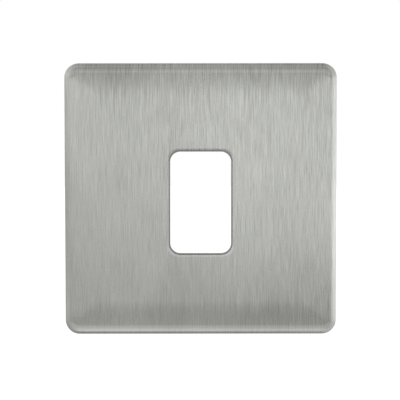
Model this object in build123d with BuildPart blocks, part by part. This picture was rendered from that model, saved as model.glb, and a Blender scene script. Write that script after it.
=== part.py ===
from build123d import *
import math
import os

os.makedirs("parts", exist_ok=True)

# Sizes are in millimetres. The wall is the plane y = 0 and the room is towards -y. As the plate is
# seen, +x is to the right and +z is up. The origin is on the wall, in the middle of the plate.

# Pressed steel face plate
plate_size = 86.0
plate_depth = 6.0
steel = 1.0
plate_corner = 4.5
edge_roll = 3.2
field = 64.0
border_fall = 0.35
least_round = 0.3

# Aperture for the switch
aperture_width = 20.0
aperture_height = 33.0
aperture_corner = 3.6
aperture_drop = 0.8
aperture_edge = 0.25

# Notch in the lower rim for levering the plate off
notch_width = 8.0
notch_height = 1.2

# Moulded frame behind the steel
mould_fit = 0.15
mould_wall = 1.2
rim_recess = 0.3
mould_bevel = 0.75
lip_fit = 0.1
lip_wall = 0.3
lip_recess = 0.1
collar_wall = 1.3
collar_flare = 0.8
rib_wall = 0.9
rib_clearance = 0.5

# Snap hooks that hold the moulded frame to the mounting frame
hook_width = 7.0
hook_spread = 42.0
hook_beam = 0.9
hook_room = 2.7
hook_gap = 0.3
hook_root = 0.5
barb_catch = 0.6
barb_land = 0.25
barb_ramp = 0.9
barb_play = 0.2

# Mounting frame, bent from sheet
yoke_sheet = 1.2
yoke_bend = 0.4
yoke_gap = 0.25
yoke_corner_cut = 4.0
window_strip = 0.7
window_play = 0.5
collar_seat = 0.7

# Tabs turned back from the mounting frame to hold the switch
tab_width = 7.0
tab_length = 4.5
tab_spread = 22.0
tab_catch_width = 3.0
tab_catch_height = 1.6

# Wall fixings
fixing_centres = 60.3
fixing_slot = 7.0
slot_play = 0.2
screw_radius = 1.75
screw_length = 25.0
neck_radius = 1.45
head_radius = 3.3
head_height = 2.1
head_crown = 0.9
drive_width = 0.9
drive_depth = 0.9
screw_tip = 0.5

# Earth terminal
terminal_side = 12.0
terminal_rise = 9.0
terminal_width = 7.5
terminal_height = 7.0
terminal_depth = 8.0
terminal_edge = 0.4
wire_radius = 1.7
wire_stop = 2.0
rivet_radius = 1.5
rivet_head = 2.4
rivet_rise = 0.7
rivet_fit = 0.05
clamp_radius = 1.5
clamp_head = 2.6
clamp_rise = 1.8
clamp_reach = 0.8
clamp_stand = 0.6

# Earthing spring between the mounting frame and the steel
spring_side = 10.0
spring_rise = 9.0
spring_sheet = 0.4
spring_width = 5.0
spring_foot = 3.0
spring_flight = 3.0
spring_pad = 2.0
spring_tip = 1.0
spring_bend = 0.5
spring_room = 0.9
pin_radius = 1.1
pin_head = 1.9
pin_rise = 0.6

# Levels, counted from the wall towards the room
steel_back = plate_depth - steel
web_front = steel_back - mould_fit
web_back = web_front - mould_wall
yoke_height = web_back - yoke_gap
rib_back = yoke_sheet + rib_clearance

# Widths that the pieces share
mould_inset = steel + mould_fit
hollow_inset = mould_inset + mould_wall
yoke_size = plate_size - 2 * (hollow_inset + hook_room)
yoke_inside = yoke_size - 2 * yoke_sheet
terminal_x = terminal_side - yoke_size / 2
terminal_z = terminal_rise - yoke_size / 2
spring_x = yoke_size / 2 - spring_side
spring_z = spring_rise - yoke_size / 2
lip_width = aperture_width - 2 * lip_fit
lip_height = aperture_height - 2 * lip_fit
lip_corner = aperture_corner - lip_fit
opening_width = lip_width - 2 * lip_wall
opening_height = lip_height - 2 * lip_wall
opening_corner = lip_corner - lip_wall
flare_width = opening_width + 2 * collar_flare
flare_height = opening_height + 2 * collar_flare
flare_corner = opening_corner + collar_flare
collar_width = flare_width + 2 * collar_wall
collar_height = flare_height + 2 * collar_wall
window_width = collar_width - 2 * collar_seat
window_height = collar_height - 2 * collar_seat
barb_lock = yoke_height - window_strip - barb_play
barb_end = barb_lock - barb_land - barb_ramp


def in_front(level):
    """The plane parallel to the wall, that far out into the room, facing the room."""
    return Plane.XZ.offset(level)


def behind(level):
    """The plane parallel to the wall, that far behind it, facing into the wall."""
    return Plane((0, level, 0), x_dir=(1, 0, 0), z_dir=(0, 1, 0))


def pressed_form(inset, bevel=0):
    """The plate's outside form with every surface moved in by the inset: a flat field, a border that
    falls away from it ever more steeply, and a rolled edge, or one bevelled by that share of the roll."""
    front = plate_depth - inset
    width = plate_size - 2 * inset
    roll = max(min(edge_roll, plate_corner - least_round) - inset, least_round)
    corner = max(plate_corner - inset, roll + least_round)
    edge = roll * bevel if bevel else roll
    rim_width = width - 2 * edge
    rim_fall = border_fall * ((rim_width - field) / (plate_size - field)) ** 2
    with BuildPart() as form:
        with BuildSketch(in_front(0)):
            RectangleRounded(width, width, corner)
        extrude(amount=front - rim_fall)
        rim = form.faces().sort_by(Axis.Y)[0].edges()
        if bevel:
            chamfer(rim, edge)
        else:
            fillet(rim, edge)
        for way_in in (0, 0.5, 1):
            ring_width = rim_width + way_in * (field - rim_width)
            with BuildSketch(in_front(front - rim_fall * (1 - way_in) ** 2)):
                RectangleRounded(ring_width, ring_width, corner - edge)
        loft(ruled=True)
    return form.part


outside_form = pressed_form(0)
steel_inside_form = pressed_form(steel)
mould_form = pressed_form(mould_inset, mould_bevel)
mould_hollow_form = pressed_form(hollow_inset, mould_bevel)

# Face plate: one sheet pressed into a shallow tray, with the aperture punched through it
with BuildPart() as face_plate:
    add(outside_form)
    add(steel_inside_form, mode=Mode.SUBTRACT)
    with BuildSketch(in_front(steel_back - steel)):
        with Locations((0, -aperture_drop)):
            RectangleRounded(aperture_width, aperture_height, aperture_corner)
    extrude(amount=2 * steel, mode=Mode.SUBTRACT)
    aperture_rim = face_plate.faces().sort_by(Axis.Y)[0].inner_wires()[0].edges()
    chamfer(aperture_rim, aperture_edge)
    with BuildSketch(in_front(0)):
        with Locations((0, -plate_size / 2)):
            Rectangle(notch_width, 4 * steel)
    extrude(amount=notch_height, mode=Mode.SUBTRACT)

# Clip frame: the insulating moulding that lines the steel and snaps onto the mounting frame
with BuildPart() as clip_frame:
    add(mould_form)
    add(mould_hollow_form, mode=Mode.SUBTRACT)
    with BuildSketch(in_front(0)):
        Rectangle(plate_size, plate_size)
    extrude(amount=rim_recess, mode=Mode.SUBTRACT)
    with BuildSketch(in_front(web_front)):
        RectangleRounded(field - 2 * mould_wall, field - 2 * mould_wall, plate_corner)
    extrude(amount=mould_fit)
    with BuildSketch(in_front(steel_back)):
        with Locations((0, -aperture_drop)):
            RectangleRounded(lip_width, lip_height, lip_corner)
    extrude(amount=steel - lip_recess)
    with BuildSketch(in_front(yoke_sheet)):
        with Locations((0, -aperture_drop)):
            RectangleRounded(collar_width, collar_height, flare_corner + collar_wall)
    extrude(amount=web_back - yoke_sheet)
    with BuildSketch(in_front(rib_back)):
        with GridLocations(collar_width - rib_wall, 0, 2, 1):
            Rectangle(rib_wall, yoke_inside - 2 * yoke_gap)
        with Locations((0, -aperture_drop)):
            with GridLocations(0, collar_height - rib_wall, 1, 2):
                Rectangle(yoke_inside - 2 * yoke_gap, rib_wall)
    extrude(amount=web_back - rib_back)
    with BuildSketch(in_front(web_front)):
        with Locations((0, -aperture_drop)):
            RectangleRounded(opening_width, opening_height, opening_corner)
    extrude(amount=plate_depth - web_front, mode=Mode.SUBTRACT)
    with BuildSketch(in_front(yoke_sheet)):
        with Locations((0, -aperture_drop)):
            RectangleRounded(flare_width, flare_height, flare_corner)
    with BuildSketch(in_front(web_front)):
        with Locations((0, -aperture_drop)):
            RectangleRounded(opening_width, opening_height, opening_corner)
    loft(mode=Mode.SUBTRACT)

    hook_face = yoke_size / 2 + hook_gap
    barb_tip = yoke_size / 2 - barb_catch
    for side in (-1, 1):
        with BuildSketch(Plane.YZ.offset(side * hook_spread / 2 - hook_width / 2)):
            with BuildLine():
                Polyline(
                    (-web_back, hook_face),
                    (-barb_lock, hook_face),
                    (-barb_lock, barb_tip),
                    (-barb_lock + barb_land, barb_tip),
                    (-barb_end, hook_face),
                    (-rim_recess, hook_face + hook_beam / 3),
                    (-rim_recess, hook_face + hook_beam),
                    (-web_back + hook_root, hook_face + hook_beam),
                    (-web_back, hook_face + hook_beam + hook_root),
                    close=True,
                )
            make_face()
            mirror(about=Plane.XZ)
        extrude(amount=hook_width)
    with BuildSketch(in_front(web_back)):
        with GridLocations(hook_spread, 2 * hook_face - barb_catch - hook_gap, 2, 2):
            Rectangle(hook_width, barb_catch + hook_gap)
        with Locations((spring_x - spring_foot - spring_flight - spring_pad / 2, spring_z)):
            Rectangle(
                2 * (spring_pad + spring_tip) + spring_room,
                spring_width + 2 * spring_room,
            )
    extrude(amount=mould_wall + mould_fit, mode=Mode.SUBTRACT)
    with BuildSketch(in_front(0)):
        with Locations((0, -plate_size / 2)):
            Rectangle(notch_width, 4 * steel + 2 * mould_wall)
    extrude(amount=notch_height, mode=Mode.SUBTRACT)

# Mounting frame: sheet steel tray, screwed to the wall box, that carries the switch and the plate
with BuildPart() as mounting_frame:
    with BuildSketch(in_front(0)):
        Rectangle(yoke_size, yoke_size)
    extrude(amount=yoke_height)
    fillet(mounting_frame.faces().sort_by(Axis.Y)[-1].edges(), yoke_sheet + yoke_bend)
    offset(amount=-yoke_sheet, openings=mounting_frame.faces().sort_by(Axis.Y)[0])
    with BuildSketch(in_front(0)):
        with GridLocations(yoke_size, yoke_size, 2, 2):
            Rectangle(2 * yoke_corner_cut, 2 * yoke_corner_cut)
        with Locations((0, -aperture_drop)):
            RectangleRounded(window_width, window_height, yoke_sheet)
        with Locations((-fixing_centres / 2, 0)):
            SlotOverall(fixing_slot, 2 * (screw_radius + slot_play))
        with Locations((fixing_centres / 2, 0)):
            SlotOverall(fixing_slot, 2 * (screw_radius + slot_play), rotation=90)
        with Locations((terminal_x, terminal_z)):
            Circle(rivet_radius + rivet_fit)
        with Locations((spring_x, spring_z)):
            Circle(pin_radius + rivet_fit)
    extrude(amount=yoke_height, mode=Mode.SUBTRACT)
    window_top = yoke_height - window_strip
    window_bottom = barb_end - barb_play
    with BuildSketch(Plane.XY.offset(-yoke_size)):
        with Locations((0, -(window_top + window_bottom) / 2)):
            with GridLocations(hook_spread, 0, 2, 1):
                Rectangle(hook_width + 2 * window_play, window_top - window_bottom)
    extrude(amount=2 * yoke_size, mode=Mode.SUBTRACT)
    tab_x = window_width + yoke_sheet
    with BuildSketch(behind(-yoke_sheet)):
        with Locations((0, aperture_drop)):
            with GridLocations(tab_x, tab_spread, 2, 2):
                Rectangle(yoke_sheet, tab_width)
    extrude(amount=yoke_sheet + tab_length)
    with BuildSketch(Plane.YZ.offset(-yoke_size / 2)):
        with Locations((tab_length / 2, -aperture_drop)):
            with GridLocations(0, tab_spread, 1, 2):
                Rectangle(tab_catch_height, tab_catch_width)
    extrude(amount=yoke_size, mode=Mode.SUBTRACT)


def fixing_screw(x):
    """A pan head screw through the mounting frame, with a slim neck and a plain shank."""
    axis_plane = Plane((x, 0, 0), x_dir=(1, 0, 0), z_dir=(0, 0, 1))
    head_top = yoke_sheet + head_height
    tip = screw_length - yoke_sheet
    with BuildPart() as screw:
        with BuildSketch(axis_plane):
            with BuildLine():
                rise = Line((0, tip), (0, -head_top))
                top = Line(rise @ 1, (head_radius - head_crown, -head_top))
                brow = Line(top @ 1, (head_radius, head_crown - head_top))
                skirt = Line(brow @ 1, (head_radius, -yoke_sheet))
                seat = Line(skirt @ 1, (neck_radius, -yoke_sheet))
                neck = Line(seat @ 1, (neck_radius, 0))
                step = Line(neck @ 1, (screw_radius, 0))
                shank = Line(step @ 1, (screw_radius, tip - screw_tip))
                point = Line(shank @ 1, (screw_radius - screw_tip, tip))
                Line(point @ 1, rise @ 0)
            make_face()
        revolve(axis=Axis((x, 0, 0), (0, 1, 0)))
        with BuildSketch(in_front(head_top)):
            with Locations((x, 0)):
                Rectangle(3 * head_radius, drive_width)
        extrude(amount=-drive_depth, mode=Mode.SUBTRACT)
    return screw


fixing_screw_left = fixing_screw(-fixing_centres / 2)
fixing_screw_right = fixing_screw(fixing_centres / 2)

# Earth terminal: brass block riveted to the back of the mounting frame
with BuildPart() as earth_terminal:
    with BuildSketch(behind(0)):
        with Locations((terminal_x, -terminal_z)):
            Rectangle(terminal_width, terminal_height)
    extrude(amount=terminal_depth)
    chamfer(earth_terminal.edges().group_by(Axis.Y)[-1], terminal_edge)
    with BuildSketch(behind(terminal_depth)):
        with Locations((terminal_x, -terminal_z)):
            Circle(wire_radius)
    extrude(amount=wire_stop - terminal_depth, mode=Mode.SUBTRACT)
    clamp_y = (terminal_depth + wire_stop) / 2
    with BuildSketch(Plane.XY.offset(terminal_z)):
        with Locations((terminal_x, clamp_y)):
            Circle(clamp_radius + rivet_fit)
    extrude(amount=-terminal_height, mode=Mode.SUBTRACT)
    with BuildSketch(in_front(0)):
        with Locations((terminal_x, terminal_z)):
            Circle(rivet_radius)
    extrude(amount=yoke_sheet)
    with BuildSketch(in_front(yoke_sheet)):
        with Locations((terminal_x, terminal_z)):
            Circle(rivet_head)
    extrude(amount=rivet_rise)
    chamfer(earth_terminal.edges().group_by(Axis.Y)[0], rivet_rise / 2)

# Clamping screw of the terminal, turned in from below
with BuildPart() as terminal_screw:
    head_seat = terminal_z - terminal_height / 2 - clamp_stand
    with BuildSketch(Plane.XY.offset(head_seat)):
        with Locations((terminal_x, clamp_y)):
            Circle(clamp_radius)
    extrude(amount=terminal_z - wire_radius + clamp_reach - head_seat)
    with BuildSketch(Plane.XY.offset(head_seat)):
        with Locations((terminal_x, clamp_y)):
            Circle(clamp_head)
    extrude(amount=-clamp_rise)
    chamfer(terminal_screw.edges().group_by(Axis.Z)[0], clamp_rise / 5)
    with BuildSketch(Plane.XY.offset(head_seat - clamp_rise)):
        with Locations((terminal_x, clamp_y)):
            Rectangle(3 * clamp_head, drive_width)
    extrude(amount=drive_depth, mode=Mode.SUBTRACT)

# Earthing spring: bronze strip that stands on the mounting frame and presses on the steel
with BuildPart() as earth_spring:
    foot_top = yoke_sheet + spring_sheet
    with BuildSketch(Plane.XY.offset(spring_z - spring_width / 2)):
        with BuildLine():
            strip = FilletPolyline(
                (spring_x + spring_foot, -foot_top),
                (spring_x - spring_foot, -foot_top),
                (spring_x - spring_foot - spring_flight, -steel_back),
                (spring_x - spring_foot - spring_flight - spring_pad, -steel_back),
                (spring_x - spring_foot - spring_flight - spring_pad - spring_tip, spring_tip - steel_back),
                radius=spring_bend,
            )
            offset(strip, amount=spring_sheet, side=Side.RIGHT)
        make_face()
    extrude(amount=spring_width)
    with BuildSketch(in_front(yoke_sheet)):
        with Locations((spring_x, spring_z)):
            Circle(pin_radius + rivet_fit)
    extrude(amount=spring_sheet, mode=Mode.SUBTRACT)

# Rivet that fastens the earthing spring
with BuildPart() as spring_rivet:
    with BuildSketch(behind(0)):
        with Locations((spring_x, -spring_z)):
            Circle(pin_head)
    extrude(amount=pin_rise)
    with BuildSketch(in_front(0)):
        with Locations((spring_x, spring_z)):
            Circle(pin_radius)
    extrude(amount=foot_top)
    with BuildSketch(in_front(foot_top)):
        with Locations((spring_x, spring_z)):
            Circle(pin_head)
    extrude(amount=pin_rise)
    chamfer(spring_rivet.edges().group_by(Axis.Y)[-1], pin_rise / 2)

pieces = {
    "face_plate": face_plate,
    "clip_frame": clip_frame,
    "mounting_frame": mounting_frame,
    "fixing_screw_left": fixing_screw_left,
    "fixing_screw_right": fixing_screw_right,
    "earth_terminal": earth_terminal,
    "terminal_screw": terminal_screw,
    "earth_spring": earth_spring,
    "spring_rivet": spring_rivet,
}
for name, piece in pieces.items():
    piece.part.label = name
    export_step(piece.part, f"parts/{name}.step")
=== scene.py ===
import math

import bmesh
import bpy
from mathutils import Matrix, Quaternion, Vector


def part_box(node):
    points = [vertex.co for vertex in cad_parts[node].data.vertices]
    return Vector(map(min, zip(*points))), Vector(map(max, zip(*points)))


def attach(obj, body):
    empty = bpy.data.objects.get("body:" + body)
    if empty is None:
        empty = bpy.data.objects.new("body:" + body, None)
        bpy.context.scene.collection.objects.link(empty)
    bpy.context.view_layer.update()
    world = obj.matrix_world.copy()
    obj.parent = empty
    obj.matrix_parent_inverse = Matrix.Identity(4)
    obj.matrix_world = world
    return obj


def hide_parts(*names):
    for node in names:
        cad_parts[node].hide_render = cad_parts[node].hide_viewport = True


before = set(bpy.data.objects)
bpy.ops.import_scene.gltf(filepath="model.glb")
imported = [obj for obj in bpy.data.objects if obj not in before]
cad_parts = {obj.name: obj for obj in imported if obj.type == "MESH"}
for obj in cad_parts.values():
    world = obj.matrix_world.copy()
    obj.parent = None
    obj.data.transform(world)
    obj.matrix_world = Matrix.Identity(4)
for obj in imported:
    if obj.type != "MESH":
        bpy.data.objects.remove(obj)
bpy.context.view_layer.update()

# Lengths are in metres. The wall is the plane y = 0, the room is towards -y and +z is up.
MM = 0.001

# Steel face plate, as pressed
plate_low, plate_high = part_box("face_plate")
plate_size = plate_high.x - plate_low.x
plate_depth = plate_high.y - plate_low.y
sheet = 1.0 * MM
plate_corner = 4.5 * MM
edge_roll = 3.2 * MM
field_size = 64.0 * MM
border_fall = 0.35 * MM
border_sharpness = 3.0  # the larger, the squarer the corners of the border's curves
aperture_width = 20.0 * MM
aperture_height = 33.0 * MM
aperture_corner = 3.6 * MM
aperture_drop = 0.8 * MM
aperture_edge = 0.15 * MM
notch_width = 8.0 * MM
notch_height = 1.2 * MM

# Points and rings in the plate's mesh
side_steps = 56
corner_steps = 12
wall_rings = 3
roll_rings = 14
face_rings = 40
edge_rings = 6
back_rings = 12

# Screws
thread_pitch = 0.6 * MM
thread_depth = 0.37 * MM
thread_flat = 0.1  # share of each flank that is flat at the crest, and again at the root
head_ring = 0.35  # radius of the inner ring on a head's flat top, as a share of the head's
head_edge = 0.08 * MM
slot_width = 0.9 * MM
slot_depth = 0.9 * MM
fixing_radius = 1.75 * MM
fixing_neck = 1.45 * MM
fixing_crown = 0.9 * MM
clamp_radius = 1.5 * MM
clamp_neck = 1.2 * MM
clamp_neck_length = 0.3 * MM
clamp_crown = 0.35 * MM
clamp_head = 1.8 * MM

# Points and rings in a screw's mesh
screw_around = 32
crown_steps = 8
pitch_steps = 8
run_in_steps = 8

# Clean-up of the solids' meshes: points this near are one, and faces this near to flat are merged
same_point = 0.001 * MM
flat_angle = 0.6

# Angles in degrees past which an edge is softened, or shaded as a crease
soft_angle = 30.0
solid_crease = 35.0
plate_crease = 40.0
screw_crease = 50.0

# How strongly the brushed lines of the face plate change its tone at the middle, and how much more
# they do so from one edge to the other, rightwards and upwards
bite_middle = 2.9
bite_rightwards = 1.8
bite_upwards = 2.9
bite_least = 1.7
bite_most = 4.3

# View of the photograph, in its pixels
picture_pixels = 400
plate_pixels = 272.5
plate_centre_x = 200.65
plate_centre_y = 200.1
camera_distance = 0.72
camera_elevation = math.radians(5.0)
camera_roll = math.radians(-0.05)
sensor = 36.0
camera_near = 0.01
camera_far = 20.0

# Light of the room ahead of the plate and at its two sides, as (sine of the elevation, brightness)
light_ahead = (
    (-1.00, 0.95),
    (-0.70, 0.55),
    (-0.45, 0.55),
    (-0.30, 0.58),
    (-0.22, 0.30),
    (-0.16, 0.00),
    (-0.12, 0.17),
    (-0.09, 0.90),
    (-0.06, 1.34),
    (-0.03, 1.04),
    (0.00, 0.50),
    (0.04, 0.24),
    (0.09, 0.30),
    (0.16, 0.46),
    (0.30, 0.53),
    (0.60, 0.50),
    (1.00, 0.30),
)
light_left = (
    (-1.00, 0.42),
    (-0.30, 0.52),
    (-0.16, 0.58),
    (-0.08, 0.60),
    (0.00, 0.76),
    (0.20, 0.96),
    (1.00, 0.60),
)
light_right = (
    (-1.00, 0.68),
    (-0.30, 0.75),
    (-0.16, 1.00),
    (-0.08, 1.24),
    (0.00, 1.03),
    (0.20, 0.84),
    (1.00, 0.45),
)

# How far each light reaches round the room, in degrees from straight ahead towards the right
reach_ahead = ((-180.0, 0.0), (-80.0, 0.0), (-40.0, 1.0), (40.0, 1.0), (80.0, 0.0), (180.0, 0.0))
reach_left = ((-180.0, 0.5), (-135.0, 0.95), (-80.0, 1.0), (-35.0, 0.0), (180.0, 0.0))
reach_right = ((-180.0, 0.0), (52.0, 0.0), (80.0, 1.08), (135.0, 1.05), (180.0, 0.5))

# Floor
floor_drop = 0.25
floor_back = 0.1
floor_size = 6.0
floor_grey = (0.86, 0.86, 0.85, 1.0)
floor_glow = (1.0, 1.0, 0.99, 1.0)
floor_glow_strength = 0.6
floor_roughness = 0.9


class Field:
    """A value in a node tree, so that a rule reads as plain arithmetic."""

    def __init__(self, tree, socket):
        self.tree = tree
        self.socket = socket

    def math(self, operation, *others):
        node = self.tree.nodes.new("ShaderNodeMath")
        node.operation = operation
        self.tree.links.new(self.socket, node.inputs[0])
        for place, other in enumerate(others, start=1):
            if isinstance(other, Field):
                self.tree.links.new(other.socket, node.inputs[place])
            else:
                node.inputs[place].default_value = other
        return Field(self.tree, node.outputs[0])

    def __add__(self, other):
        return self.math("ADD", other)

    def __sub__(self, other):
        return self.math("SUBTRACT", other)

    def __mul__(self, other):
        return self.math("MULTIPLY", other)

    def __truediv__(self, other):
        return self.math("DIVIDE", other)

    def __pow__(self, other):
        return self.math("POWER", other)

    def minus_from(self, value):
        return self.math("MULTIPLY", -1.0) + value

    def at_least(self, low):
        return self.math("MAXIMUM", low)

    def at_most(self, high):
        return self.math("MINIMUM", high)

    def within(self, low, high):
        return self.at_least(low).at_most(high)


def parts_of(tree, vector):
    """The x, y and z of a vector."""
    split = tree.nodes.new("ShaderNodeSeparateXYZ")
    tree.links.new(vector, split.inputs["Vector"])
    return [Field(tree, split.outputs[axis]) for axis in ("X", "Y", "Z")]


# Geometry node trees
def new_tree(name, sizes):
    """A tree with a named input for each size, and those inputs as fields."""
    tree = bpy.data.node_groups.new(name, "GeometryNodeTree")
    tree.interface.new_socket("Geometry", in_out="INPUT", socket_type="NodeSocketGeometry")
    tree.interface.new_socket("Geometry", in_out="OUTPUT", socket_type="NodeSocketGeometry")
    for title, value in sizes.items():
        kind = "NodeSocketFloat" if isinstance(value, float) else "NodeSocketVector"
        tree.interface.new_socket(title, in_out="INPUT", socket_type=kind)
    tree.interface.new_socket("Finish", in_out="INPUT", socket_type="NodeSocketMaterial")
    entry = tree.nodes.new("NodeGroupInput")
    return tree, entry, {title: Field(tree, entry.outputs[title]) for title in sizes}


def close_tree(tree, entry, geometry):
    """Ends a tree in Realize Instances and Set Material."""
    realize = tree.nodes.new("GeometryNodeRealizeInstances")
    finish = tree.nodes.new("GeometryNodeSetMaterial")
    leave = tree.nodes.new("NodeGroupOutput")
    tree.links.new(geometry, realize.inputs["Geometry"])
    tree.links.new(realize.outputs["Geometry"], finish.inputs["Geometry"])
    tree.links.new(entry.outputs["Finish"], finish.inputs["Material"])
    tree.links.new(finish.outputs["Geometry"], leave.inputs["Geometry"])


def position_parts(tree):
    """The x, y and z of each point."""
    return parts_of(tree, tree.nodes.new("GeometryNodeInputPosition").outputs["Position"])


def attribute_field(tree, name):
    """A number stored on each point."""
    node = tree.nodes.new("GeometryNodeInputNamedAttribute")
    node.data_type = "FLOAT"
    node.inputs["Name"].default_value = name
    return Field(tree, node.outputs["Attribute"])


def set_points(tree, geometry, x, y, z):
    """Moves each point to x, y, z."""
    joined = tree.nodes.new("ShaderNodeCombineXYZ")
    for part, axis in ((x, "X"), (y, "Y"), (z, "Z")):
        tree.links.new(part.socket, joined.inputs[axis])
    move = tree.nodes.new("GeometryNodeSetPosition")
    tree.links.new(geometry, move.inputs["Geometry"])
    tree.links.new(joined.outputs["Vector"], move.inputs["Position"])
    return move.outputs["Geometry"]


def run_tree(piece, tree, sizes, material):
    """Puts the tree on the piece with its sizes set, and turns the result into a plain mesh."""
    modifier = piece.modifiers.new(tree.name, "NODES")
    modifier.node_group = tree
    sockets = {s.name: s.identifier for s in tree.interface.items_tree if s.in_out == "INPUT"}
    for title, value in sizes.items():
        modifier[sockets[title]] = value
    modifier[sockets["Finish"]] = material
    bake(piece)


# Pieces and their meshes
def new_piece(name, mesh):
    piece = bpy.data.objects.new(name, mesh)
    bpy.context.scene.collection.objects.link(piece)
    return piece


def bake(piece):
    """Replaces the piece's mesh by its mesh with all modifiers applied, and removes them."""
    bpy.context.view_layer.update()
    graph = bpy.context.evaluated_depsgraph_get()
    made = bpy.data.meshes.new_from_object(piece.evaluated_get(graph))
    piece.modifiers.clear()
    piece.data = made


def reshape(mesh, change):
    """Lets change work on the mesh's points, edges and faces."""
    form = bmesh.new()
    form.from_mesh(mesh)
    change(form)
    form.to_mesh(mesh)
    form.free()


def face_outwards(form):
    bmesh.ops.recalc_face_normals(form, faces=form.faces)


def merge_flats(form):
    bmesh.ops.remove_doubles(form, verts=form.verts, dist=same_point)
    limit = math.radians(flat_angle)
    bmesh.ops.dissolve_limit(form, angle_limit=limit, verts=form.verts, edges=form.edges)


def shade(piece, crease):
    """Smooth shading, broken at edges sharper than the crease angle."""

    def mark(form):
        for face in form.faces:
            face.smooth = True
        for edge in form.edges:
            edge.smooth = edge.calc_face_angle(math.pi) < math.radians(crease)

    reshape(piece.data, mark)


def cut(piece, low, high):
    """Cuts the box between two corners out of the piece."""
    tool = bmesh.new()
    bmesh.ops.create_cube(tool, size=1.0)
    size = Vector(high) - Vector(low)
    middle = (Vector(high) + Vector(low)) / 2
    place = Matrix.Translation(middle) @ Matrix.Diagonal((*size, 1.0))
    bmesh.ops.transform(tool, matrix=place, verts=tool.verts)
    mesh = bpy.data.meshes.new("cutter")
    tool.to_mesh(mesh)
    tool.free()
    cutter = new_piece("cutter", mesh)
    modifier = piece.modifiers.new("cut", "BOOLEAN")
    modifier.operation = "DIFFERENCE"
    modifier.solver = "EXACT"
    modifier.object = cutter
    bake(piece)
    bpy.data.objects.remove(cutter)
    bpy.data.meshes.remove(mesh)


def declare(piece, slot, *nodes):
    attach(piece, "root")
    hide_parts(*nodes)


# Finishes
def new_material(name):
    material = bpy.data.materials.new(name)
    material.use_nodes = True
    return material, material.node_tree, material.node_tree.nodes["Principled BSDF"]


def object_place(tree):
    return tree.nodes.new("ShaderNodeTexCoord").outputs["Object"]


def noise(tree, vector, size, detail=2.0, roughness=0.5, shift=(0.0, 0.0, 0.0)):
    """Noise whose grain measures the size along each axis of the vector, shifted by so many grains."""
    stretch = tree.nodes.new("ShaderNodeMapping")
    stretch.inputs["Scale"].default_value = [1.0 / length for length in size]
    stretch.inputs["Location"].default_value = shift
    tree.links.new(vector, stretch.inputs["Vector"])
    grain = tree.nodes.new("ShaderNodeTexNoise")
    grain.inputs["Scale"].default_value = 1.0
    grain.inputs["Detail"].default_value = detail
    grain.inputs["Roughness"].default_value = roughness
    tree.links.new(stretch.outputs["Vector"], grain.inputs["Vector"])
    return Field(tree, grain.outputs["Fac"])


def swing(level, *pushes):
    """A level that noises push up and down. Each comes with its strength, and 0.5 is its middle."""
    first, *others = [(grain - 0.5) * strength for grain, strength in pushes]
    return sum(others, first) + level


def colour(tree, shader, dark, light, tone):
    """Colours a surface between dark and light."""
    mix = tree.nodes.new("ShaderNodeMix")
    mix.data_type = "RGBA"
    mix.inputs["A"].default_value = (*dark, 1.0)
    mix.inputs["B"].default_value = (*light, 1.0)
    tree.links.new(tone.within(0.0, 1.0).socket, mix.inputs["Factor"])
    tree.links.new(mix.outputs["Result"], shader.inputs["Base Color"])


def roughen(tree, shader, rough):
    tree.links.new(rough.socket, shader.inputs["Roughness"])


def bump(tree, shader, height, distance, strength):
    node = tree.nodes.new("ShaderNodeBump")
    node.inputs["Distance"].default_value = distance
    node.inputs["Strength"].default_value = strength
    tree.links.new(height.socket, node.inputs["Height"])
    tree.links.new(node.outputs["Normal"], shader.inputs["Normal"])


def brushed_stainless():
    """Stainless steel brushed upright before pressing, so the lines follow the flat blank."""
    material, tree, shader = new_material("brushed_stainless")
    blank = tree.nodes.new("ShaderNodeUVMap")
    blank.uv_map = "blank"
    flat = blank.outputs["UV"]
    hair = noise(tree, flat, (0.14 * MM, 6 * MM, 1.0), detail=3.0, roughness=0.6)
    line = noise(tree, flat, (0.25 * MM, 13 * MM, 1.0), roughness=0.6)
    stroke = noise(tree, flat, (1.0 * MM, 22 * MM, 1.0))
    # The broad cloud and patch tones are partly the steel's own random clouding and partly painted
    # reflection: they are shifted so their lighter and darker areas stand in for the room's light mirrored
    # in the plate
    cloud_and_painted_reflection = noise(tree, flat, (20 * MM, 34 * MM, 1.0), shift=(31.0, 17.7, 0.0))
    patch = noise(tree, flat, (42 * MM, 60 * MM, 1.0), shift=(17.1, 52.5, 0.0))
    streaks = hair * 0.5 + line * 0.4 + stroke * 0.1
    x, z, _ = parts_of(tree, flat)
    deeper = x / plate_size * bite_rightwards + z / plate_size * bite_upwards
    bite = (deeper + bite_middle).within(bite_least, bite_most)
    tone = swing(0.53, (streaks, bite), (cloud_and_painted_reflection, 0.48), (patch, 0.7))
    colour(tree, shader, (0.41, 0.415, 0.392), (0.80, 0.811, 0.766), tone)
    roughen(tree, shader, swing(0.27, (streaks, 0.16), (cloud_and_painted_reflection, 0.05)))
    shader.inputs["Metallic"].default_value = 1.0
    shader.inputs["Anisotropic"].default_value = 0.75
    across = tree.nodes.new("ShaderNodeTangent")
    across.direction_type = "UV_MAP"
    across.uv_map = "blank"
    tree.links.new(across.outputs["Tangent"], shader.inputs["Tangent"])
    bump(tree, shader, hair * 0.5 + line * 0.5, distance=0.004 * MM, strength=0.6)
    return material


def grey_moulding():
    """Grey moulded plastic with a fine spark-eroded grain and faint flow marks."""
    material, tree, shader = new_material("grey_moulding")
    place = object_place(tree)
    grain = noise(tree, place, (0.12 * MM,) * 3, detail=3.0)
    flow = noise(tree, place, (11 * MM, 4 * MM, 15 * MM))
    colour(tree, shader, (0.30, 0.30, 0.296), (0.40, 0.40, 0.395), grain * 0.5 + flow * 0.5)
    roughen(tree, shader, swing(0.46, (grain, 0.2), (flow, 0.15)))
    bump(tree, shader, grain, distance=0.02 * MM, strength=0.5)
    return material


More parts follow.
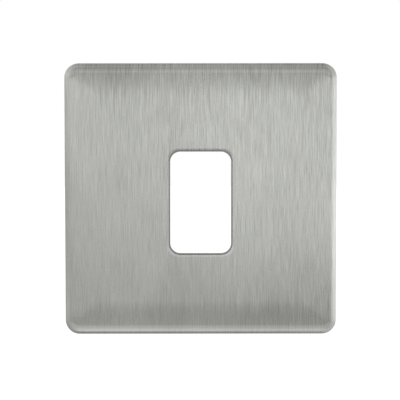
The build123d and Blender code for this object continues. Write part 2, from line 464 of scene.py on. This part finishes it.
def zinc_plate():
    """Bright zinc plating over rolled sheet, with a faint bluish mottling."""
    material, tree, shader = new_material("zinc_plate")
    place = object_place(tree)
    rolled = noise(tree, place, (12 * MM, 3 * MM, 0.5 * MM), detail=3.0, roughness=0.6)
    mottle = noise(tree, place, (3.2 * MM,) * 3, detail=4.0)
    tone = swing(0.5, (rolled, 0.9), (mottle, 0.9))
    colour(tree, shader, (0.43, 0.455, 0.49), (0.71, 0.72, 0.71), tone)
    roughen(tree, shader, swing(0.34, (mottle, 0.25), (rolled, 0.2)))
    shader.inputs["Metallic"].default_value = 1.0
    bump(tree, shader, rolled * 0.6 + mottle * 0.4, distance=0.02 * MM, strength=0.35)
    return material


def nickel():
    """Nickel plating on turned and rolled screws."""
    material, tree, shader = new_material("nickel")
    place = object_place(tree)
    turned = noise(tree, place, (2 * MM, 0.12 * MM, 2 * MM))
    speck = noise(tree, place, (0.9 * MM,) * 3, detail=3.0)
    tone = swing(0.55, (turned, 0.6), (speck, 0.8))
    colour(tree, shader, (0.47, 0.44, 0.39), (0.76, 0.73, 0.68), tone)
    roughen(tree, shader, swing(0.27, (speck, 0.2)))
    shader.inputs["Metallic"].default_value = 1.0
    bump(tree, shader, turned * 0.6 + speck * 0.4, distance=0.01 * MM, strength=0.4)
    return material


def copper_alloy(name, dark, light, sawn):
    """Brass or bronze with sawn or rolled lines and slightly duller patches."""
    material, tree, shader = new_material(name)
    place = object_place(tree)
    lines = noise(tree, place, sawn, detail=3.0, roughness=0.6)
    patch = noise(tree, place, (2.4 * MM,) * 3, detail=3.0)
    colour(tree, shader, dark, light, swing(0.5, (lines, 0.9), (patch, 0.8)))
    roughen(tree, shader, swing(0.31, (patch, 0.25), (lines, 0.15)))
    shader.inputs["Metallic"].default_value = 1.0
    bump(tree, shader, lines, distance=0.015 * MM, strength=0.4)
    return material


# Face plate
def outline(half_width, half_height, radius, drop=0.0):
    """A rounded rectangle in the x-z plane, with the same number of points whatever its size."""
    arcs = []
    for right, up, start in ((1, 1, 0), (-1, 1, 90), (-1, -1, 180), (1, -1, 270)):
        middle = Vector((right * (half_width - radius), up * (half_height - radius) - drop))
        arc = []
        for step in range(corner_steps + 1):
            turn = math.radians(start + 90.0 * step / corner_steps)
            arc.append(middle + radius * Vector((math.cos(turn), math.sin(turn))))
        arcs.append(arc)
    points = []
    for arc, following in zip(arcs, arcs[1:] + arcs[:1]):
        points += arc
        points += [arc[-1].lerp(following[0], step / side_steps) for step in range(1, side_steps)]
    return points


def between(start, end, share):
    return [a.lerp(b, share) for a, b in zip(start, end)]


def blank_rings():
    """The flat blank as rings of points, each with its depth in the sheet: round the front face from
    the rim to the aperture, then back over the rear face to the rim."""
    base_half = plate_size / 2 - edge_roll
    base_corner = plate_corner - edge_roll
    bend = edge_roll * math.pi / 2
    wall = plate_depth - border_fall - edge_roll

    def grown(reach):
        return outline(base_half + reach, base_half + reach, base_corner + reach)

    def aperture(reach):
        half_width = aperture_width / 2 + reach
        half_height = aperture_height / 2 + reach
        return outline(half_width, half_height, aperture_corner + reach, aperture_drop)

    reaches = [bend + wall * (1 - n / wall_rings) for n in range(wall_rings)]
    reaches += [bend * (1 - n / roll_rings) for n in range(roll_rings)]
    rings = [(grown(reach), 0.0) for reach in reaches]
    start, end = grown(0.0), aperture(aperture_edge)
    rings += [(between(start, end, n / face_rings), 0.0) for n in range(face_rings)]
    for n in range(edge_rings + 1):
        turn = math.pi / 2 * n / edge_rings
        rings.append((aperture(aperture_edge * (1 - math.sin(turn))), 0.0))
    end = aperture(0.0)
    rings += [(between(end, start, n / back_rings), sheet) for n in range(back_rings)]
    rings += [(grown(reach), sheet) for reach in reversed(reaches)]
    return rings


def blank_mesh():
    """The flat blank as a closed skin, with its own flat map."""
    rings = blank_rings()
    around = len(rings[0][0])
    mesh = bpy.data.meshes.new("face_plate_blank")
    points = [(p.x, 0.0, p.y) for ring, _ in rings for p in ring]
    faces = []
    for row in range(len(rings)):
        here, there = row * around, (row + 1) % len(rings) * around
        for n in range(around):
            m = (n + 1) % around
            faces.append((here + n, here + m, there + m, there + n))
    mesh.from_pydata(points, [], faces)
    depth = mesh.attributes.new("depth_in_sheet", "FLOAT", "POINT")
    depth.data.foreach_set("value", [inset for ring, inset in rings for _ in ring])
    blank = mesh.uv_layers.new(name="blank")
    for loop in mesh.loops:
        x, _, z = points[loop.vertex_index]
        blank.data[loop.index].uv = (x, z)
    return mesh


def press_tree(sizes):
    """Presses a flat blank into the plate: it rolls the edge, turns up the wall, curves the border back
    from the flat field and rounds the front edge of the aperture."""
    tree, entry, given = new_tree("press_plate", sizes)
    corner, roll, fall = given["Corner"], given["Edge Roll"], given["Border Fall"]
    depth, edge = given["Plate Depth"], given["Aperture Edge"]
    u, _, v = position_parts(tree)
    inset = attribute_field(tree, "depth_in_sheet")

    # How far each point of the blank lies past the start of the roll, and which way it goes from there
    core = given["Plate Size"] / 2.0 - corner
    beyond = [(part.math("ABSOLUTE") - core).at_least(0.0) for part in (u, v)]
    distance = (beyond[0] ** 2.0 + beyond[1] ** 2.0).math("SQRT")
    reach = (distance - (corner - roll)).at_least(0.0)
    safe = distance.at_least(1e-9)
    way = [gap / safe * part.math("SIGN") for gap, part in zip(beyond, (u, v))]
    base = [part - step * reach for part, step in zip((u, v), way)]

    # The border falls back from the flat field, the edge rolls a quarter turn and the wall runs on
    angle = (reach / roll).at_most(math.pi / 2)
    bend = roll - inset
    out = bend * angle.math("SINE")
    half_field = given["Field"] / 2.0
    border = given["Plate Size"] / 2.0 - half_field
    falls = [((part.math("ABSOLUTE") - half_field).at_least(0.0) / border) ** 2.0 for part in base]
    powers = [part ** border_sharpness for part in falls]
    fallen = (powers[0] + powers[1]) ** (1.0 / border_sharpness) * fall
    level = depth - fallen - inset
    down = bend * angle.math("COSINE").minus_from(1.0)
    wall = (reach - roll * (math.pi / 2)) / (depth - fall - roll)
    pressed = (down - level) * wall.within(0.0, 1.0).minus_from(1.0)

    # The front edge of the aperture is rounded by a quarter turn
    half_width, half_height = given["Aperture Width"] / 2.0, given["Aperture Height"] / 2.0
    round_off = given["Aperture Corner"]
    away_x = (u.math("ABSOLUTE") - half_width + round_off).at_least(0.0)
    away_z = ((v + given["Aperture Drop"]).math("ABSOLUTE") - half_height + round_off).at_least(0.0)
    away = (away_x ** 2.0 + away_z ** 2.0).math("SQRT") - round_off
    near = (away / edge).within(0.0, 1.0).minus_from(1.0)
    turned = (near ** 2.0).minus_from(1.0).at_least(0.0).math("SQRT").minus_from(1.0) * edge
    on_front = inset.math("LESS_THAN", same_point)

    x, z = [start + step * out for start, step in zip(base, way)]
    close_tree(tree, entry, set_points(tree, entry.outputs["Geometry"], x, pressed + turned * on_front, z))
    return tree


def make_face_plate(material):
    sizes = {
        "Plate Size": plate_size,
        "Plate Depth": plate_depth,
        "Corner": plate_corner,
        "Edge Roll": edge_roll,
        "Field": field_size,
        "Border Fall": border_fall,
        "Aperture Width": aperture_width,
        "Aperture Height": aperture_height,
        "Aperture Corner": aperture_corner,
        "Aperture Drop": aperture_drop,
        "Aperture Edge": aperture_edge,
    }
    plate = new_piece("steel_plate", blank_mesh())
    run_tree(plate, press_tree(sizes), sizes, material)
    reshape(plate.data, face_outwards)
    # Notch in the lower rim for levering the plate off
    low = (-notch_width / 2, -notch_height, plate_low.z - sheet)
    high = (notch_width / 2, sheet, plate_low.z + 2 * sheet)
    cut(plate, low, high)
    shade(plate, plate_crease)
    declare(plate, "stainless", "face_plate")


# Pieces that keep the solid's own form, with softened edges
def soften(node, name, slot, material, edge):
    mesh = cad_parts[node].data.copy()
    reshape(mesh, merge_flats)
    mesh.materials.clear()
    mesh.materials.append(material)
    piece = new_piece(name, mesh)
    bevel = piece.modifiers.new("edge", "BEVEL")
    bevel.width = edge
    bevel.segments = 2
    bevel.limit_method = "ANGLE"
    bevel.angle_limit = math.radians(soft_angle)
    bevel.use_clamp_overlap = True
    bake(piece)
    shade(piece, solid_crease)
    flats = piece.modifiers.new("flats", "WEIGHTED_NORMAL")
    flats.keep_sharp = True
    bake(piece)
    declare(piece, slot, node)


# Screws
def turned_mesh(name, stations):
    """A closed turned form along +y, from stations of (place, radius, share of the thread's depth)."""
    mesh = bpy.data.meshes.new(name)
    points = []
    for place, radius, _ in stations:
        for n in range(screw_around):
            turn = 2 * math.pi * n / screw_around
            points.append((radius * math.cos(turn), place, radius * math.sin(turn)))
    faces = []
    for row in range(len(stations) - 1):
        here, there = row * screw_around, (row + 1) * screw_around
        for n in range(screw_around):
            m = (n + 1) % screw_around
            faces.append((here + n, there + n, there + m, here + m))
    last = (len(stations) - 1) * screw_around
    faces.append(tuple(range(screw_around)))
    faces.append(tuple(last + n for n in reversed(range(screw_around))))
    mesh.from_pydata(points, [], faces)
    threaded = mesh.attributes.new("threaded", "FLOAT", "POINT")
    threaded.data.foreach_set("value", [share for _, _, share in stations for _ in range(screw_around)])
    return mesh


def thread_tree(sizes):
    """Rolls a thread into the threaded stretch of a turned form, then sets the form in its place."""
    tree, entry, given = new_tree("roll_thread", sizes)
    x, y, z = position_parts(tree)
    turn = z.math("ARCTAN2", x) / (2 * math.pi)
    along = (y / given["Pitch"] - turn).math("FRACT")
    flank = (along * 2.0 - 1.0).math("ABSOLUTE")
    groove = ((flank - thread_flat) / (1.0 - 2.0 * thread_flat)).within(0.0, 1.0)
    deep = groove * attribute_field(tree, "threaded") * given["Thread Depth"]
    shrink = (deep / given["Radius"]).minus_from(1.0)
    points = set_points(tree, entry.outputs["Geometry"], x * shrink, y, z * shrink)
    place = tree.nodes.new("GeometryNodeTransform")
    tree.links.new(points, place.inputs["Geometry"])
    tree.links.new(entry.outputs["Place"], place.inputs["Translation"])
    tree.links.new(entry.outputs["Turn"], place.inputs["Rotation"])
    close_tree(tree, entry, place.outputs["Geometry"])
    return tree


def screw_stations(head_radius, head_height, crown, neck_radius, neck_length, radius, length):
    """Stations of a screw from the top of its head, at -head_height, to its tip."""
    stations = [(-head_height, head_ring * head_radius, 0.0)]
    for n in range(crown_steps + 1):
        turn = math.pi / 2 * n / crown_steps
        across = head_radius - crown * (1 - math.sin(turn))
        stations.append((-head_height + crown * (1 - math.cos(turn)), across, 0.0))
    stations += [(-head_edge, head_radius, 0.0), (0.0, head_radius - head_edge, 0.0)]
    stations += [(0.0, neck_radius, 0.0), (neck_length, neck_radius, 0.0)]
    step = thread_pitch / pitch_steps
    count = int((length - neck_length) / step)
    for n in range(count + 1):
        share = min(1.0, n / run_in_steps)
        tip = min(1.0, (count - n) / run_in_steps)
        stations.append((neck_length + n * step, radius - thread_depth * (1 - tip), share))
    return stations


def make_screw(name, node, stations, radius, place, turn, slot_box, material):
    sizes = {
        "Pitch": thread_pitch,
        "Thread Depth": thread_depth,
        "Radius": radius,
        "Place": Vector(place),
        "Turn": Vector(turn),
    }
    screw = new_piece(name, turned_mesh(name, stations))
    run_tree(screw, thread_tree(sizes), sizes, material)
    reshape(screw.data, face_outwards)
    cut(screw, *slot_box)
    shade(screw, screw_crease)
    declare(screw, "screw_steel", node)


def make_fixing_screws(material):
    """The two screws that hold the mounting frame to the wall. Their heads bear on its front, the
    plane that the back of the earthing spring lies on."""
    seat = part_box("earth_spring")[1].y
    for side in ("left", "right"):
        node = "fixing_screw_" + side
        low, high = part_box(node)
        middle = (low + high) / 2
        stations = screw_stations(
            head_radius=(high.x - low.x) / 2,
            head_height=seat - low.y,
            crown=fixing_crown,
            neck_radius=fixing_neck,
            neck_length=-seat,
            radius=fixing_radius,
            length=high.y - seat,
        )
        slot_low = (low.x - MM, low.y - MM, middle.z - slot_width / 2)
        slot_high = (high.x + MM, low.y + slot_depth, middle.z + slot_width / 2)
        make_screw(
            name="wall_screw_" + side,
            node=node,
            stations=stations,
            radius=fixing_radius,
            place=(middle.x, seat, middle.z),
            turn=(0.0, 0.0, 0.0),
            slot_box=(slot_low, slot_high),
            material=material,
        )


def make_terminal_screw(material):
    """The screw that clamps the earth wire, driven upwards from below."""
    low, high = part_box("terminal_screw")
    middle = (low + high) / 2
    stations = screw_stations(
        head_radius=(high.x - low.x) / 2,
        head_height=clamp_head,
        crown=clamp_crown,
        neck_radius=clamp_neck,
        neck_length=clamp_neck_length,
        radius=clamp_radius,
        length=high.z - low.z - clamp_head,
    )
    slot_low = (low.x - MM, middle.y - slot_width / 2, low.z - MM)
    slot_high = (high.x + MM, middle.y + slot_width / 2, low.z + slot_depth)
    make_screw(
        name="clamp_screw",
        node="terminal_screw",
        stations=stations,
        radius=clamp_radius,
        place=(middle.x, middle.y, low.z + clamp_head),
        turn=(math.pi / 2, 0.0, 0.0),
        slot_box=(slot_low, slot_high),
        material=material,
    )


# Studio
def make_camera():
    data = bpy.data.cameras.new("camera")
    view_width = picture_pixels / plate_pixels * plate_size
    data.sensor_width = sensor
    data.lens = sensor * camera_distance / view_width
    data.shift_x = (picture_pixels / 2 - plate_centre_x) / picture_pixels
    data.shift_y = (plate_centre_y - picture_pixels / 2) / picture_pixels
    data.clip_start = camera_near
    data.clip_end = camera_far
    camera = bpy.data.objects.new("camera", data)
    bpy.context.scene.collection.objects.link(camera)
    back = Vector((0.0, -math.cos(camera_elevation), math.sin(camera_elevation)))
    camera.location = Vector((0.0, -plate_depth, 0.0)) + camera_distance * back
    camera.rotation_mode = "QUATERNION"
    level = (-back).to_track_quat("-Z", "Y")
    camera.rotation_quaternion = level @ Quaternion((0.0, 0.0, 1.0), camera_roll)
    bpy.context.scene.camera = camera


def make_floor():
    material, _, shader = new_material("pale_floor")
    shader.inputs["Base Color"].default_value = floor_grey
    shader.inputs["Roughness"].default_value = floor_roughness
    shader.inputs["Emission Color"].default_value = floor_glow
    shader.inputs["Emission Strength"].default_value = floor_glow_strength
    mesh = bpy.data.meshes.new("floor")
    half = floor_size / 2
    corners = [(-half, -half, 0), (half, -half, 0), (half, half, 0), (-half, half, 0)]
    mesh.from_pydata(corners, [], [(0, 1, 2, 3)])
    mesh.transform(Matrix.Translation((0.0, floor_back, -floor_drop)))
    mesh.materials.append(material)
    floor = new_piece("floor", mesh)
    floor.visible_glossy = False


def ramp(tree, value, stops):
    """A smooth curve near (value, brightness) stops. The ramp itself holds shares of the brightest."""
    low, high = stops[0][0], stops[-1][0]
    brightest = max(brightness for _, brightness in stops)
    node = tree.nodes.new("ShaderNodeValToRGB")
    node.color_ramp.interpolation = "B_SPLINE"
    elements = node.color_ramp.elements
    while len(elements) < len(stops):
        elements.new(0.5)
    for element, (at, brightness) in zip(elements, stops):
        element.position = (at - low) / (high - low)
        element.color = (*[brightness / brightest] * 3, 1.0)
    tree.links.new(((value - low) / (high - low)).socket, node.inputs["Fac"])
    return Field(tree, node.outputs["Color"]) * brightest


def make_light():
    """A soft pale room: a light band ahead of the plate, and a broad soft light at each side."""
    world = bpy.data.worlds.new("studio")
    bpy.context.scene.world = world
    world.use_nodes = True
    tree = world.node_tree
    tree.nodes.clear()
    x, y, z = parts_of(tree, tree.nodes.new("ShaderNodeTexCoord").outputs["Generated"])
    around = x.math("ARCTAN2", y * -1.0) * (180 / math.pi)
    ahead = ramp(tree, z, light_ahead) * ramp(tree, around, reach_ahead)
    left = ramp(tree, z, light_left) * ramp(tree, around, reach_left)
    right = ramp(tree, z, light_right) * ramp(tree, around, reach_right)
    room = tree.nodes.new("ShaderNodeBackground")
    tree.links.new((ahead + left + right).socket, room.inputs["Color"])
    white = tree.nodes.new("ShaderNodeBackground")
    white.inputs["Color"].default_value = (1.0, 1.0, 1.0, 1.0)
    ray = tree.nodes.new("ShaderNodeLightPath")
    mix = tree.nodes.new("ShaderNodeMixShader")
    tree.links.new(ray.outputs["Is Camera Ray"], mix.inputs["Fac"])
    tree.links.new(room.outputs["Background"], mix.inputs[1])
    tree.links.new(white.outputs["Background"], mix.inputs[2])
    leave = tree.nodes.new("ShaderNodeOutputWorld")
    tree.links.new(mix.outputs["Shader"], leave.inputs["Surface"])


bpy.context.scene.view_settings.view_transform = "Standard"
make_camera()
make_floor()
make_light()

steel = brushed_stainless()
plastic = grey_moulding()
zinc = zinc_plate()
plating = nickel()
brass = copper_alloy("turned_brass", (0.42, 0.27, 0.09), (0.80, 0.60, 0.29), (0.2 * MM, 3 * MM, 3 * MM))
bronze = copper_alloy("rolled_bronze", (0.42, 0.21, 0.10), (0.78, 0.50, 0.30), (6 * MM, 2 * MM, 0.2 * MM))

make_face_plate(steel)
soften("clip_frame", "moulded_frame", "moulding", plastic, 0.1 * MM)
soften("mounting_frame", "mounting_yoke", "zinc_steel", zinc, 0.12 * MM)
soften("earth_terminal", "terminal_block", "brass", brass, 0.12 * MM)
soften("earth_spring", "contact_spring", "bronze", bronze, 0.06 * MM)
soften("spring_rivet", "contact_rivet", "screw_steel", plating, 0.08 * MM)
make_fixing_screws(plating)
make_terminal_screw(plating)
